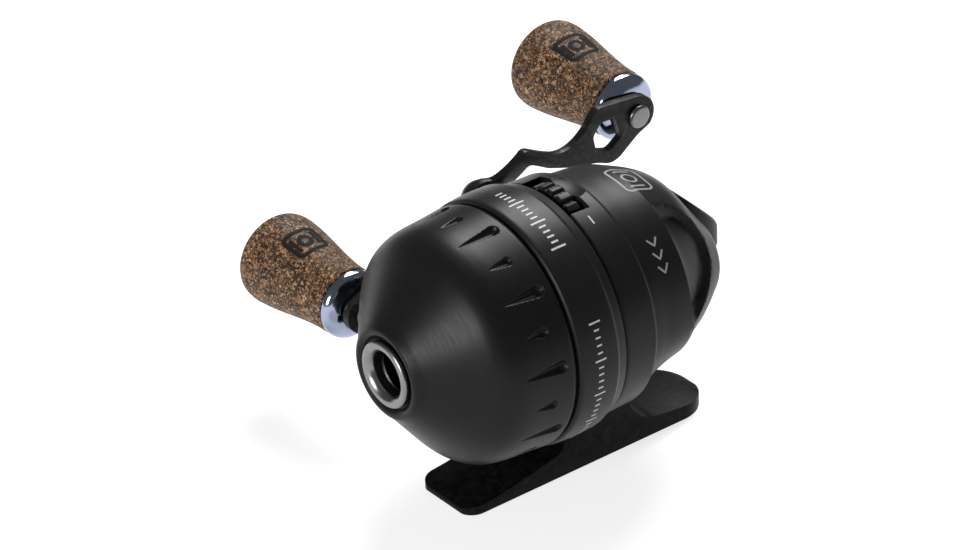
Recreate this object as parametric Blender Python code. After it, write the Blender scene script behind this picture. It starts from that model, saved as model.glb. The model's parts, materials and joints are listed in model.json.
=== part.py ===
"""Small spincast fishing reel, built as an assembly of separate pieces.

World frame, metres: the origin is the centre of the foot's underside, +Z is up, the nose of the
reel (where the line leaves) points along -Y, the thumb button along +Y and the crank along -X.
All sizes below are millimetres in the body frame: station 0 is the joint between the front cover
and the body, measured along the body axis, and heights are measured from that axis.
"""
import bmesh
import bpy
from math import atan2, cos, degrees, pi, radians, sin, sqrt
from mathutils import Matrix, Vector

# ---------------------------------------------------------------- driving dimensions (mm)
MM = 0.001
AXIS_Z = 34.3            # body axis above the foot's underside
SEAM_Y = -16.55          # station 0 in the world frame
GAP = 0.3                # clearance between pieces that touch

SLEEVE_R = 22.9          # housing sleeve that carries the cover and the trim band
SLEEVE_IN = 21.2
WALL = 2.1               # housing wall

SHAFT_R = 1.2            # centre shaft
PINION_BORE = 1.55
PINION_TEETH = 10
GEAR_TEETH = 41
MODULE = 0.5
CRANK_Y = 26.8           # station of the crank axis
GEAR_R = MODULE * GEAR_TEETH / 2     # the crown teeth meet the pinion in front of the crank

CRANK_R = 2.2            # crank shaft
HUB_IN, HUB_OUT = -36.3, -38.1      # crank arm, faces of the hub
PLATE_IN, PLATE_OUT = -31.6, -33.4  # crank arm, faces of the two paddles
ARM_R = 35.7             # crank axis to knob axis
ARM_TILT = radians(14.7)  # rest angle of the arm above +Y
SPINDLE_R = 1.3

WHEEL_R = 9.3            # drag thumbwheel
WHEEL_Z = 15.3
WHEEL_TEETH = 20

HINGE = (34.0, 13.8)     # thumb button hinge (station, height)
BUTTON_HALF = 6.2        # half width of the oval pad
BUTTON_Y = 46.0
BUTTON_REAR = 7.7        # reach of the pad behind BUTTON_Y

FOOT_HALF = 8.0
FOOT_FRONT, FOOT_REAR = -14.4, 47.5
FOOT_SCREWS = (14.6, 19.6)
RECESSES = 10            # long ones; as many short ones lie between them

SEG = 36                 # facets round the big shells


# ---------------------------------------------------------------- helpers
def world(x, y, z):
    """Body-frame millimetres to world metres."""
    return Vector((x, y + SEAM_Y, z + AXIS_Z)) * MM


def material(name, colour, rough, metal):
    mat = bpy.data.materials.new(name)
    mat.use_nodes = True
    shader = mat.node_tree.nodes["Principled BSDF"]
    shader.inputs["Base Color"].default_value = (*colour, 1.0)
    shader.inputs["Roughness"].default_value = rough
    shader.inputs["Metallic"].default_value = metal
    mat.diffuse_color = (*colour, 1.0)
    return mat


def add_object(name, bm, origin, mat=None, flat=False):
    """Turn a bmesh in body-frame millimetres into an object whose origin is at `origin`."""
    base = world(*origin)
    for v in bm.verts:
        v.co = world(*v.co) - base
    bmesh.ops.recalc_face_normals(bm, faces=bm.faces)
    mesh = bpy.data.meshes.new(name)
    bm.to_mesh(mesh)
    bm.free()
    if not flat:
        mesh.shade_smooth()
    obj = bpy.data.objects.new(name, mesh)
    obj.location = base
    bpy.context.scene.collection.objects.link(obj)
    if mat:
        mesh.materials.append(mat)
    return obj


def part(name, bm, origin, colour, rough=0.5, metal=0.0, flat=False):
    return add_object(name, bm, origin, material(name + "_mat", colour, rough, metal), flat)


def boolean(obj, bm, operation="DIFFERENCE"):
    """Cut (or join) a helper solid, given in body-frame millimetres."""
    tool = add_object(obj.name + "_tool", bm, (0, 0, 0), flat=True)
    tool.hide_render = True
    tool.display_type = 'WIRE'
    mod = obj.modifiers.new(operation.lower(), 'BOOLEAN')
    mod.operation = operation
    mod.solver = 'EXACT'
    mod.object = tool
    return tool


def grid_solid(rows, closed):
    """Skin a list of rings. A ring with one point is a pole; `closed` joins last to first."""
    bm = bmesh.new()
    rings = [[bm.verts.new(p) for p in row] for row in rows]
    pairs = list(zip(rings, rings[1:]))
    if closed:
        pairs.append((rings[-1], rings[0]))
    for a, b in pairs:
        n = max(len(a), len(b))
        if n == 1:
            continue
        for i in range(n):
            j = (i + 1) % n
            quad = [a[i % len(a)], a[j % len(a)], b[j % len(b)], b[i % len(b)]]
            face = [v for k, v in enumerate(quad) if v not in quad[:k]]
            if len(face) > 2:
                bm.faces.new(face)
    return bm


def turned(profile, axis, centre=(0.0, 0.0), seg=32):
    """Solid of revolution from (station, radius) points; radius 0 is a point on the axis.

    axis 'Y' turns about a line along Y through (x, z) = centre, axis 'X' about a line along X
    through (y, z) = centre and axis 'Z' about a line along Z through (x, y) = centre.
    """
    def ring(s, r):
        pts = []
        for i in range(seg if r > 0 else 1):
            t = 2 * pi * i / seg
            a, b = centre[0] + r * cos(t), centre[1] + r * sin(t)
            pts.append({'Y': (a, s, b), 'X': (s, a, b), 'Z': (a, b, s)}[axis])
        return pts
    closed = profile[0][1] > 0 and profile[-1][1] > 0
    return grid_solid([ring(s, r) for s, r in profile], closed)


def rod(axis, start, end, radius, centre=(0.0, 0.0), seg=20):
    return turned([(start, 0), (start, radius), (end, radius), (end, 0)], axis, centre, seg)


def tube(axis, start, end, outer, bore, centre=(0.0, 0.0), seg=24):
    return turned([(start, bore), (start, outer), (end, outer), (end, bore)], axis, centre, seg)


def slab(outline, axis, lo, hi):
    """Extrude a 2-D outline: axis 'X' takes (y, z) points, axis 'Z' takes (x, y) points."""
    def lift(p, t):
        return (t, p[0], p[1]) if axis == 'X' else (p[0], p[1], t)
    bm = bmesh.new()
    a = [bm.verts.new(lift(p, lo)) for p in outline]
    b = [bm.verts.new(lift(p, hi)) for p in outline]
    bm.faces.new(a)
    bm.faces.new(b[::-1])
    n = len(outline)
    for i in range(n):
        bm.faces.new([a[i], a[(i + 1) % n], b[(i + 1) % n], b[i]])
    return bm


def box(x0, x1, y0, y1, z0, z1):
    return slab([(x0, y0), (x1, y0), (x1, y1), (x0, y1)], 'Z', z0, z1)


def merged(*solids):
    """Collect separate solids in one bmesh, to use together as one cutter."""
    out = bmesh.new()
    for bm in solids:
        mesh = bpy.data.meshes.new("scratch")
        bm.to_mesh(mesh)
        out.from_mesh(mesh)
        bpy.data.meshes.remove(mesh)
        bm.free()
    return out


def arc(cx, cy, r, start, end, steps):
    """Points of an arc, angles in degrees."""
    return [(cx + r * cos(radians(start + (end - start) * i / steps)),
             cy + r * sin(radians(start + (end - start) * i / steps))) for i in range(steps + 1)]


def blend(table, y):
    """Linear interpolation in rows of (station, value, ...)."""
    for lo, hi in zip(table, table[1:]):
        if y <= hi[0]:
            t = max(0.0, (y - lo[0]) / (hi[0] - lo[0]))
            return [a + (b - a) * t for a, b in zip(lo[1:], hi[1:])]
    return list(table[-1][1:])


def toothed(section, teeth, shape, axis, centre):
    """Turned solid whose section changes with the tooth height.

    section(h) gives the (station, radius) loop for a tooth height h from 0 (root) to 1 (tip);
    shape lists the (fraction of a pitch, height) corners of one tooth.
    """
    columns = []
    for k in range(teeth):
        for frac, h in shape:
            t = 2 * pi * (k + frac) / teeth
            col = []
            for s, r in section(h):
                a, b = centre[0] + r * cos(t), centre[1] + r * sin(t)
                col.append((a, s, b) if axis == 'Y' else (s, a, b))
            columns.append(col)
    return grid_solid([list(row) for row in zip(*columns)], True)


# ---------------------------------------------------------------- housing shape
# (station, radius at the top, at the side, at the bottom) of the housing's outside
OUTSIDE = [
    (12.6, 23.9, 23.9, 23.9), (13.0, 24.1, 24.1, 24.1), (19.8, 23.9, 23.9, 23.9),
    (20.5, 23.1, 23.1, 22.9), (22.0, 22.9, 22.9, 21.2), (24.0, 22.6, 22.6, 19.4),
    (27.0, 22.3, 22.4, 17.0), (30.2, 21.9, 22.1, 15.5), (31.5, 21.4, 21.5, 15.1),
    (33.0, 20.8, 20.4, 14.8), (36.0, 19.5, 18.6, 14.8), (38.2, 18.3, 17.3, 14.8),
    (39.7, 17.1, 16.3, 14.3), (41.4, 14.9, 15.2, 13.3), (43.5, 12.2, 13.7, 11.9),
    (45.7, 9.0, 12.0, 10.4), (47.3, 6.9, 9.4, 8.2), (48.4, 4.6, 6.4, 5.6), (49.1, 2.2, 3.0, 2.8)]
REAR_POLE = 49.3


def section_radius(y, t, table):
    top, side, bottom = blend(table, y)
    ends = top if sin(t) > 0 else bottom
    return side + (ends - side) * sin(t) ** 2


def scoop_depth(y, t):
    """Shallow thumb scoop on each flank, behind the shoulder crease."""
    a = degrees(atan2(sin(t), abs(cos(t))))
    width = max(0.0, 1.0 - ((a - 26.0) / 36.0) ** 2)
    start, end = 30.2, 32.0 + 9.6 * width
    if width <= 0 or not start < y < end:
        return 0.0
    u = (y - start) / (end - start)
    return 1.5 * width ** 0.5 * 2 * sqrt(u * (1 - u))


def housing_row(y, inset):
    pts = []
    for i in range(SEG):
        t = 2 * pi * i / SEG
        r = section_radius(y, t, OUTSIDE) - inset
        if inset == 0:
            r -= scoop_depth(y, t)
        pts.append((r * cos(t), y, r * sin(t)))
    return pts


def housing_solid():
    def circle(y, r):
        return [(r * cos(2 * pi * i / SEG), y, r * sin(2 * pi * i / SEG)) for i in range(SEG)]
    stations = [12.6, 13.0, 19.8, 20.5, 22, 24, 27, 30.2, 30.8, 32.0, 33.5, 35, 36.6, 38.2, 39.7,
                41.4, 43.5, 45.7, 47.3, 48.4, 49.1]
    inner = [44.8, 43, 41, 38.2, 36, 33, 30, 27, 24, 20.5]
    rows = [circle(-4.2, SLEEVE_IN), circle(-4.2, SLEEVE_R - 0.4), circle(-3.8, SLEEVE_R),
            circle(12.6, SLEEVE_R)]
    rows += [housing_row(y, 0.0) for y in stations]
    wall_rows = [housing_row(y, WALL + 0.5 * min(1.0, max(0.0, (y - 27) / 3))) for y in inner]
    rows += [[(0, REAR_POLE, 0)], [(0, 46.4, 0)]] + wall_rows + [circle(12.0, SLEEVE_IN)]
    return grid_solid(rows, True)


# ---------------------------------------------------------------- pieces: shells
def build_cover():
    outer = [(-25.9, 5.8), (-25.9, 7.3), (-26.6, 7.6), (-27.0, 8.3), (-26.9, 9.1), (-26.3, 9.7),
             (-25.4, 10.6), (-17.6, 20.2), (-16.2, 21.7), (-14.6, 22.9), (-12.4, 23.7),
             (-10.0, 24.1), (-6.0, 24.35), (-0.9, 24.8), (-0.3, 24.6)]
    inner = [(-0.3, 23.2), (-4.6, 23.2), (-5.0, 22.4), (-12.5, 21.8), (-14.4, 20.9),
             (-16.4, 18.9), (-24.0, 9.6), (-24.2, 5.8)]
    cover = part("front_cover", turned(outer + inner, 'Y', seg=40), (0, 0, 0),
                 (0.03, 0.029, 0.028), 0.42, 0.0)
    cutters = []
    for k in range(2 * RECESSES):
        long_one = k % 2 == 0
        t = radians(8.4 + 18 * k)
        tip, end, r = (-11.6, -3.3, 1.35) if long_one else (-9.9, -5.6, 0.95)
        drop = turned([(tip, 0), (end, r), (end + 0.5 * r, 0.87 * r), (end + 0.95 * r, 0)],
                      'Y', seg=6)
        bmesh.ops.transform(drop, verts=drop.verts,
                            matrix=Matrix.Translation((24.35 * cos(t), 0, 24.35 * sin(t))))
        cutters.append(drop)
    boolean(cover, merged(*cutters))


def build_guide_ring():
    profile = [(-23.6, 4.7), (-23.4, 5.1), (-23.6, 5.5), (-26.2, 5.5), (-26.2, 6.75),
               (-26.6, 6.94), (-27.2, 6.8), (-27.5, 6.3), (-27.4, 5.5), (-27.0, 4.9),
               (-26.2, 4.4), (-24.2, 4.4)]
    part("line_guide_ring", turned(profile, 'Y', seg=24), (0, 0, 0), (0.62, 0.61, 0.6), 0.28, 1.0)


def build_trim_band():
    profile = [(0.4, 23.2), (0.4, 24.7), (0.8, 25.15), (4.5, 25.5), (9.4, 25.35), (10.1, 24.9),
               (12.0, 24.45), (12.3, 24.1), (12.3, 23.2)]
    part("trim_band", turned(profile, 'Y', seg=40), (0, 0, 0), (0.035, 0.034, 0.033), 0.4, 0.0)


def build_housing():
    housing = part("main_housing", housing_solid(), (0, 0, 0), (0.028, 0.027, 0.026), 0.45, 0.0)
    lugs = merged(box(-6.4, -4.8, 32.4, 35.6, 12.0, 17.2), box(4.8, 6.4, 32.4, 35.6, 12.0, 17.2))
    boolean(housing, lugs, "UNION")
    boolean(housing, rod('X', -9.5, -27.0, 6.2, (CRANK_Y, 0), 28), "UNION")
    posts = [rod('Y', 5.3, 11.0, 2.5, (19.2 * cos(radians(a)), 19.2 * sin(radians(a))), 12)
             for a in (30, 150, 270)]
    boolean(housing, merged(*posts), "UNION")
    bore = [(-9.0, 0), (-9.0, 4.2), (-15.2, 4.2), (-15.2, 3.0), (-19.2, 3.0), (-19.2, 4.9),
            (-28.0, 4.9), (-28.0, 0)]
    boolean(housing, turned(bore, 'X', (CRANK_Y, 0), 20))
    pilots = [rod('Y', 4.0, 9.8, 1.1, (18.3 * cos(radians(a)), 18.3 * sin(radians(a))), 12)
              for a in (30, 150, 270)]
    pilots += [rod('Z', -26.0, -18.0, 1.3, (0, y), 12) for y in FOOT_SCREWS]
    boolean(housing, merged(*pilots, rod('X', -6.9, 6.9, 1.2, HINGE, 16)))
    wheel_slot = slab([(-8.9, 19.0), (8.9, 19.0), (6.9, 24.4), (6.4, 27.0), (-6.4, 27.0),
                       (-6.9, 24.4)], 'Z', 12.4, 17.5)
    swap = Matrix(((1, 0, 0, 0), (0, 0, 1, 0), (0, 1, 0, 0), (0, 0, 0, 1)))
    bmesh.ops.transform(wheel_slot, verts=wheel_slot.verts, matrix=swap)
    boolean(housing, wheel_slot)
    scallop = bmesh.new()
    bmesh.ops.create_uvsphere(scallop, u_segments=16, v_segments=10, radius=1.0)
    shape = Matrix.Translation((0, 17.3, 24.5)) @ Matrix.Diagonal((5.2, 4.8, 1.7, 1.0))
    bmesh.ops.transform(scallop, verts=scallop.verts, matrix=shape)
    boolean(housing, scallop)
    way = BUTTON_HALF + 0.4
    rows = []
    for z, reach in ((-5.9, 1.7), (11.7, 1.7), (14.1, 0.0), (30.0, 0.0)):
        ring = [2 * pi * (k + 0.5) / 32 for k in range(32)]
        rows.append([(way * cos(t), BUTTON_Y + way * sin(t) - (reach if sin(t) < 0 else 0), z)
                     for t in ring])
    boolean(housing, grid_solid([[(0, BUTTON_Y, -5.9)]] + rows + [[(0, BUTTON_Y, 30.0)]], False))


def build_foot():
    side = [(FOOT_FRONT, -34.3), (FOOT_REAR, -34.3), (FOOT_REAR, -32.2), (45.5, -31.7),
            (38.0, -31.1), (31.5, -30.3), (29.2, -29.4), (27.2, -27.4), (25.8, -25.4),
            (25.0, -22.5), (24.8, -18.0), (10.0, -18.0), (10.0, -25.6), (9.3, -27.8),
            (7.8, -29.2), (4.0, -30.0), (-6.0, -31.9), (-13.2, -32.6), (FOOT_FRONT, -33.0)]
    foot = part("reel_foot", slab(side, 'X', -FOOT_HALF, FOOT_HALF), (0, 16.55, -34.3),
                (0.03, 0.03, 0.03), 0.4, 0.0, flat=True)
    r = 3.5
    plan = (arc(-FOOT_HALF + r, FOOT_FRONT + r, r, 180, 270, 5)
            + arc(FOOT_HALF - r, FOOT_FRONT + r, r, 270, 360, 5)
            + arc(0, FOOT_REAR - FOOT_HALF, FOOT_HALF, 0, 180, 16))
    boolean(foot, slab(plan, 'Z', -36, -10), "INTERSECT")
    seat = [[(0, 11.0, 0)]] + [housing_row(y, -GAP) for y in (12.6, 13.0, 19.8, 20.5, 22, 24, 27)]
    boolean(foot, grid_solid(seat + [[(0, 27.0, 0)]], False))
    boolean(foot, turned([(0.0, 0), (0.0, 25.9), (9.6, 25.7), (12.9, 24.6), (12.9, 0)], 'Y', seg=40))
    boolean(foot, merged(*[rod('Z', -31.5, -15.0, 1.25, (0, y), 12) for y in FOOT_SCREWS]))


# ---------------------------------------------------------------- pieces: deck, spool and drive
def build_deck():
    deck = [(-11.6, 3.35), (-11.6, 4.3), (3.0, 4.3), (3.0, 20.9), (5.0, 20.9), (5.0, 6.4),
            (7.2, 6.4), (7.2, 5.0), (3.6, 5.0), (3.6, 3.35)]
    plate = part("deck_plate", turned(deck, 'Y', seg=28), (0, 0, 0), (0.55, 0.56, 0.58), 0.4, 1.0)
    boolean(plate, rod('Y', 4.0, 12.8, 3.2, (0, WHEEL_Z), 20), "UNION")
    holes = [rod('Y', 2.0, 14.0, 1.9, (0, WHEEL_Z), 20)]
    holes += [rod('Y', 2.0, 6.0, 1.2, (18.3 * cos(radians(a)), 18.3 * sin(radians(a))), 12)
              for a in (30, 150, 270)]
    boolean(plate, merged(*holes))
    part("pinion_bushing", tube('Y', 3.9, 7.0, 4.7, 3.25), (0, 0, 0), (0.72, 0.53, 0.24), 0.35, 1.0)
    for k, a in enumerate((30, 150, 270)):
        c = (18.3 * cos(radians(a)), 18.3 * sin(radians(a)))
        head = turned([(1.2, 0), (1.2, 1.5), (1.6, 1.9), (2.7, 1.9), (2.7, 0.8), (9.3, 0.8),
                       (9.3, 0)], 'Y', c, 16)
        part(f"deck_screw_{k + 1}", head, (c[0], 1.2, c[1]), (0.6, 0.6, 0.6), 0.3, 1.0)


def build_spool():
    spool = [(-10.2, 4.65), (-10.2, 14.2), (-9.9, 14.4), (-9.4, 14.4), (-9.1, 14.2), (-8.8, 9.0),
             (-1.2, 9.0), (-0.9, 17.9), (-0.6, 18.2), (0.3, 18.2), (0.6, 17.9), (0.6, 4.65)]
    part("spool", turned(spool, 'Y', seg=28), (0, -4.8, 0), (0.7, 0.71, 0.72), 0.3, 1.0)
    part("spool_clip", tube('Y', -11.3, -10.6, 6.0, 4.6, seg=24), (0, -11, 0),
         (0.5, 0.5, 0.5), 0.35, 1.0)


def build_spinner():
    head = [(-15.2, 1.5), (-15.2, 5.0), (-14.8, 10.0), (-13.9, 14.2), (-13.2, 15.6),
            (-12.4, 16.2), (-7.6, 16.2), (-7.6, 15.0), (-12.2, 15.0), (-13.0, 12.5),
            (-13.2, 5.0), (-13.2, 1.5)]
    spinner = part("spinner_head", turned(head, 'Y', seg=28), (0, -13, 0),
                   (0.6, 0.61, 0.62), 0.35, 1.0)
    boolean(spinner, rod('X', 14.0, 18.0, 1.15, (-11.6, 0), 12))
    part("pickup_pin", turned([(12.6, 0), (12.6, 0.8), (17.2, 0.8), (17.6, 0.5), (17.6, 0)],
                              'X', (-11.6, 0), 14), (15.0, -11.6, 0), (0.8, 0.8, 0.8), 0.2, 1.0)
    part("spinner_nut", turned([(-17.9, 1.5), (-17.9, 2.3), (-17.5, 2.7), (-15.5, 2.7),
                                (-15.5, 1.5)], 'Y', seg=6), (0, -16.5, 0),
         (0.65, 0.62, 0.5), 0.35, 1.0, flat=True)
    shaft = [(-17.6, 0), (-17.6, 0.9), (-17.2, SHAFT_R), (43.2, SHAFT_R), (43.6, 0.8), (43.6, 0)]
    part("center_shaft", turned(shaft, 'Y', seg=20), (0, 0, 0), (0.62, 0.63, 0.64), 0.25, 1.0)
    part("spring_retainer", tube('Y', 34.6, 35.8, 2.3, 1.5, seg=20), (0, 35.2, 0),
         (0.5, 0.5, 0.5), 0.4, 1.0)


def build_return_spring():
    start, end, turns, radius, wire = 19.9, 33.9, 6, 2.05, 0.28
    steps, sides = turns * 10, 5
    rows = []
    for i in range(steps + 1):
        t = 2 * pi * turns * i / steps
        c = Vector((radius * cos(t), start + (end - start) * i / steps, radius * sin(t)))
        out = Vector((cos(t), 0, sin(t)))
        rows.append([c + wire * (cos(a) * out + sin(a) * Vector((0, 1, 0)))
                     for a in (2 * pi * k / sides for k in range(sides))])
    rows = [[sum(rows[0], Vector()) / sides]] + rows + [[sum(rows[-1], Vector()) / sides]]
    part("return_spring", grid_solid(rows, False), (0, start, 0), (0.6, 0.6, 0.62), 0.3, 1.0)


def build_gears():
    def pinion(h):
        tip = 1.9 + 1.05 * h
        return [(-12.6, PINION_BORE), (-12.6, 2.9), (13.6, 2.9), (14.2, 1.9),
                (14.3, tip), (18.9, tip), (19.1, 1.9), (19.1, PINION_BORE)]
    tooth = [(-0.12, 0.98), (0.12, 0.98), (0.24, 0.0), (0.76, 0.0)]
    part("pinion_gear", toothed(pinion, PINION_TEETH, tooth, 'Y', (0, 0)), (0, 0, 0),
         (0.75, 0.57, 0.28), 0.35, 1.0)

    def crown(h):
        face = -3.1 + 1.1 * h
        return [(-9.0, 2.5), (-9.0, 4.0), (-5.2, GEAR_R + 1.05),
                (face, GEAR_R + 1.05), (face, GEAR_R - 1.2), (-3.15, GEAR_R - 1.25), (-3.15, 2.5)]
    tooth = [(-0.10, 1.0), (0.10, 1.0), (0.20, 0.0), (0.80, 0.0)]
    part("drive_gear", toothed(crown, GEAR_TEETH, tooth, 'X', (CRANK_Y, 0)), (-5, CRANK_Y, 0),
         (0.66, 0.66, 0.68), 0.4, 1.0)


# ---------------------------------------------------------------- pieces: drag and thumb button
def build_drag():
    def wheel(h):
        tip = WHEEL_R - 0.75 + 0.75 * h
        return [(13.2, 1.9), (13.2, tip - 0.6), (13.7, tip), (16.5, tip), (17.0, tip - 0.6),
                (17.0, 1.9)]
    tooth = [(-0.26, 1.0), (0.26, 1.0), (0.4, 0.0), (0.6, 0.0)]
    part("drag_wheel", toothed(wheel, WHEEL_TEETH, tooth, 'Y', (0, WHEEL_Z)), (0, 15.1, WHEEL_Z),
         (0.04, 0.04, 0.042), 0.45, 0.0)
    screw = [(2.9, 0), (2.9, 1.5), (18.6, 1.5), (19.0, 1.1), (19.0, 0)]
    part("drag_screw", turned(screw, 'Y', (0, WHEEL_Z), 20), (0, 10, WHEEL_Z),
         (0.6, 0.6, 0.62), 0.3, 1.0)
    part("drag_pad", rod('Y', 1.7, 2.6, 2.6, (0, WHEEL_Z), 24), (0, 2.2, WHEEL_Z),
         (0.35, 0.3, 0.24), 0.9, 0.0)


def build_button():
    """Thumb lever: a slanted oval pad, a neck to the hinge pin and a leg behind the shaft."""
    pad = [(39.0, 12.9), (39.0, 17.5), (50.6, 5.9), (52.3, 4.0), (53.3, 2.2), (53.7, 0.4),
           (53.2, -0.8), (52.0, -1.5), (47.4, -1.5), (47.4, 4.5)]
    button = part("thumb_button", slab(pad, 'X', -7.0, 7.0), (0, *HINGE), (0.04, 0.039, 0.038),
                  0.4, 0.0, flat=True)
    plan = (arc(0, BUTTON_Y, BUTTON_HALF, 180, 360, 16)
            + [(BUTTON_HALF * cos(radians(a)), BUTTON_Y + BUTTON_REAR * sin(radians(a)))
               for a in (11.25 * k for k in range(1, 16))])
    boolean(button, slab(plan, 'Z', -8.0, 25.0), "INTERSECT")
    neck = arc(*HINGE, 1.6, 250, 70, 8) + [(38.0, 13.4), (41.5, 11.4), (41.5, 9.6), (38.0, 10.8)]
    boolean(button, slab(neck, 'X', -3.6, 3.6), "UNION")
    boolean(button, box(-4.0, 4.0, 44.0, 45.3, -4.5, 8.0), "UNION")
    boolean(button, rod('X', -7.0, 7.0, 1.2, HINGE, 16))
    part("button_pin", rod('X', -6.6, 6.6, 0.9, HINGE, 16), (0, *HINGE), (0.6, 0.6, 0.6), 0.3, 1.0)


# ---------------------------------------------------------------- pieces: crank
def arm_point(u, v, x):
    """Arm coordinates (along, across) at the rest tilt, as a body-frame point."""
    return (x, CRANK_Y + u * cos(ARM_TILT) - v * sin(ARM_TILT),
            u * sin(ARM_TILT) + v * cos(ARM_TILT))


BEND_DIR = Vector((0.72, 0.694)).normalized()
BEND = [(4.3, 0.0), (5.1, 0.20), (6.5, 0.46), (8.5, 0.70), (10.2, 0.87), (11.9, 1.0)]


def arm_offset(s):
    """How far the plate has stepped toward the body at distance s along the bend direction."""
    s = abs(s)
    if s <= BEND[0][0]:
        return 0.0
    return blend(BEND, s)[0] * (PLATE_IN - HUB_IN)


def arm_outline():
    upper = [(2.3, 4.9), (7.6, 9.3), (8.6, 9.75), (9.6, 9.4), (13.0, 6.2), (15.1, 4.5),
             (17.0, 3.7), (19.0, 3.55), (21.0, 3.9), (23.2, 4.8), (25.2, 6.3), (26.4, 7.3),
             (27.4, 7.6), (28.6, 7.3), (36.9, 4.1)]
    lower = [(29.2, -6.2), (27.4, -6.3), (26.0, -5.7), (24.0, -4.1), (22.0, -3.0),
             (19.0, -1.5), (16.0, 0.3), (12.9, 2.3), (10.6, 4.6), (9.4, 5.6), (8.6, 5.5),
             (5.2, 1.9)]
    half = upper + arc(ARM_R, 0, 4.25, 60, -60, 8) + [(34.6, -4.15)] + lower
    hub = arc(0, 0, 5.5, 10, -100, 8)
    half += hub
    return half + [(-u, -v) for u, v in half]


def build_arm():
    bm = bmesh.new()
    outline = arm_outline()
    lo = [bm.verts.new((u, v, HUB_IN)) for u, v in outline]
    hi = [bm.verts.new((u, v, HUB_OUT)) for u, v in outline]
    bm.faces.new(lo)
    bm.faces.new(hi[::-1])
    n = len(outline)
    for i in range(n):
        bm.faces.new([lo[i], lo[(i + 1) % n], hi[(i + 1) % n], hi[i]])
    for s, _ in BEND:
        for side in (-1, 1):
            normal = Vector((*BEND_DIR, 0)) * side
            bmesh.ops.bisect_plane(bm, geom=bm.verts[:] + bm.edges[:] + bm.faces[:],
                                   plane_co=normal * s, plane_no=normal)
    for v in bm.verts:
        step = arm_offset(v.co.x * BEND_DIR.x + v.co.y * BEND_DIR.y)
        v.co = arm_point(v.co.x, v.co.y, v.co.z + step)
    arm = part("crank_arm", bm, (-37, CRANK_Y, 0), (0.02, 0.02, 0.021), 0.35, 0.6, flat=True)
    window = [(24.5, 2.3), (27.1, 4.2), (30.5, 3.1), (30.9, -2.1), (27.4, -3.3), (24.3, -1.2)]
    cutters = [rod('X', -30, -40, 2.5, (CRANK_Y, 0), 20)]
    for side in (1, -1):
        hole = slab([arm_point(side * u, side * v, 0)[1:] for u, v in window], 'X', -30, -35)
        _, ky, kz = arm_point(side * ARM_R, 0, 0)
        cutters += [hole, rod('X', -30, -35, SPINDLE_R + 0.35, (ky, kz), 16)]
    boolean(arm, merged(*cutters))


def build_crank():
    shaft = [(-3.5, 0), (-3.5, CRANK_R), (-40.1, CRANK_R), (-40.4, 1.8), (-40.4, 0)]
    part("crank_shaft", turned(shaft, 'X', (CRANK_Y, 0), 24), (-20, CRANK_Y, 0),
         (0.6, 0.6, 0.62), 0.3, 1.0)
    part("crank_bushing", tube('X', -10.0, -14.6, 3.9, 2.5, (CRANK_Y, 0)), (-12, CRANK_Y, 0),
         (0.72, 0.53, 0.24), 0.35, 1.0)
    part("one_way_clutch", tube('X', -20.0, -26.6, 4.6, 2.5, (CRANK_Y, 0)), (-23, CRANK_Y, 0),
         (0.55, 0.56, 0.58), 0.3, 1.0)
    collar = [(-27.6, 2.5), (-27.6, 5.2), (-28.0, 5.6), (-29.6, 5.6), (-30.4, 4.4), (-36.0, 4.0),
              (-36.0, 2.5)]
    part("crank_collar", turned(collar, 'X', (CRANK_Y, 0), 28), (-32, CRANK_Y, 0),
         (0.03, 0.03, 0.03), 0.35, 0.5)
    build_arm()
    nut = [(-38.4, 2.5), (-38.4, 3.8), (-38.9, 4.1), (-40.2, 3.9), (-41.5, 3.1), (-42.4, 1.8),
           (-42.7, 0), (-40.7, 0), (-40.7, 2.5)]
    part("crank_nut", turned(nut, 'X', (CRANK_Y, 0), 24), (-40, CRANK_Y, 0),
         (0.05, 0.05, 0.052), 0.3, 0.8)


def build_knob(index, side):
    _, y, z = arm_point(side * ARM_R, 0, 0)
    tag = f"_{index}"
    spindle = [(-30.5, 0), (-30.5, 1.9), (-30.8, 2.5), (-31.3, 2.5), (-31.3, SPINDLE_R),
               (-56.0, SPINDLE_R), (-56.0, 0)]
    part("knob_spindle" + tag, turned(spindle, 'X', (y, z), 20), (-45, y, z),
         (0.72, 0.72, 0.73), 0.35, 1.0)
    collar = [(-33.9, 1.65), (-33.9, 3.6), (-34.4, 5.2), (-35.1, 6.5), (-35.8, 7.1),
              (-36.7, 7.2), (-36.9, 7.0), (-36.9, 3.6), (-44.0, 3.6), (-44.0, 1.65)]
    part("knob_collar" + tag, turned(collar, 'X', (y, z), 24), (-38, y, z),
         (0.8, 0.81, 0.85), 0.12, 1.0)
    cork = [(-37.3, 3.95), (-37.3, 6.9), (-37.6, 7.2), (-41.0, 7.25), (-45.5, 7.75),
            (-50.0, 8.5), (-54.0, 9.15), (-58.6, 9.55), (-60.4, 9.3), (-61.4, 8.5), (-61.8, 7.0),
            (-61.9, 0), (-57.0, 0), (-57.0, 1.7), (-44.4, 1.7), (-44.4, 3.95)]
    part("knob_cork" + tag, turned(cork, 'X', (y, z), 24), (-50, y, z), (0.55, 0.38, 0.25), 0.85, 0.0)


def build_foot_screws():
    for k, y in enumerate(FOOT_SCREWS):
        screw = [(-19.6, 0), (-19.6, 1.6), (-20.0, 2.0), (-20.8, 2.0), (-20.8, 0.9),
                 (-30.8, 0.9), (-30.8, 0)]
        if k:
            screw = [(z + 2.0 if z > -21 else z, r) for z, r in screw]
        part(f"foot_screw_{k + 1}", turned(screw, 'Z', (0, y), 16), (0, y, -20),
             (0.6, 0.6, 0.6), 0.3, 1.0)


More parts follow.
